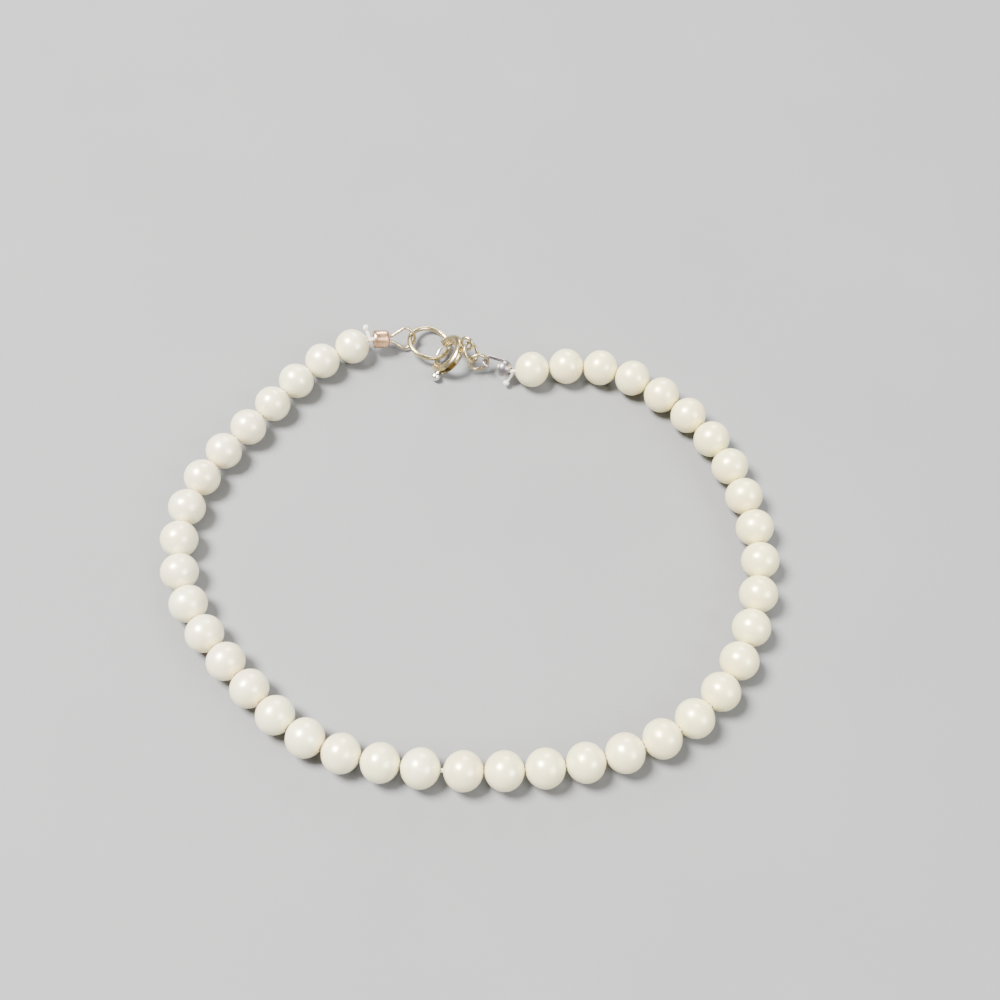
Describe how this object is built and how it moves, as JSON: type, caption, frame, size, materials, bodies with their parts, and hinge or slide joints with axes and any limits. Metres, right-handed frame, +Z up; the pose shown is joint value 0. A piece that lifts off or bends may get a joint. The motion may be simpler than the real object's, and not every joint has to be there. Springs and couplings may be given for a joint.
{
  "type": "pearl bracelet",
  "caption": "Closed single-strand pearl bracelet with a spring ring clasp, end ring, wire hook and bead tip, lying flat.",
  "frame": {"origin": "middle of the bottom: on the surface the bracelet lies on, under the middle of its box", "axes": "+Z up out of the loop's plane, +Y towards the clasp, +X to the right seen with the clasp at the back"},
  "size_m": [0.066, 0.0572, 0.0046],
  "materials": {
    "pearl": "creamy white nacre with a soft shine",
    "thread": "off-white twisted thread",
    "copper": "plated copper, slightly worn",
    "brass": "pale plated brass, slightly worn",
    "bright_metal": "bright polished",
    "dark_silver": "tarnished silver"
  },
  "bodies": {
    "bracelet": {"bead_tip_right": "dark_silver", "crimp_left": "copper", "end_ring": "brass", "hook_left": "brass", "jump_ring_a": "brass", "jump_ring_b": "brass", "knot_right": "bright_metal", "pearl_01": "pearl", "pearl_02": "pearl", "pearl_03": "pearl", "pearl_04": "pearl", "pearl_05": "pearl", "pearl_06": "pearl", "pearl_07": "pearl", "pearl_08": "pearl", "pearl_09": "pearl", "pearl_10": "pearl", "pearl_11": "pearl", "pearl_12": "pearl", "pearl_13": "pearl", "pearl_14": "pearl", "pearl_15": "pearl", "pearl_16": "pearl", "pearl_17": "pearl", "pearl_18": "pearl", "pearl_19": "pearl", "pearl_20": "pearl", "pearl_21": "pearl", "pearl_22": "pearl", "pearl_23": "pearl", "pearl_24": "pearl", "pearl_25": "pearl", "pearl_26": "pearl", "pearl_27": "pearl", "pearl_28": "pearl", "pearl_29": "pearl", "pearl_30": "pearl", "pearl_31": "pearl", "pearl_32": "pearl", "pearl_33": "pearl", "pearl_34": "pearl", "pearl_35": "pearl", "pearl_36": "pearl", "pearl_37": "pearl", "pearl_38": "pearl", "pearl_39": "pearl", "pearl_40": "pearl", "pearl_41": "pearl", "spring_ring": "brass", "thread": "thread"},
    "lever": {"clasp_lever": "bright_metal"}
  },
  "joints": [
    {"name": "lever_hinge", "type": "hinge", "parent": "bracelet", "child": "lever", "pos_m": [-0.00241, 0.02373, 0.0018], "axis": [-0.6664, 0.06, 0.7432], "range_deg": [0, 64], "stiffness_Nm_per_rad": 0.003}
  ]
}
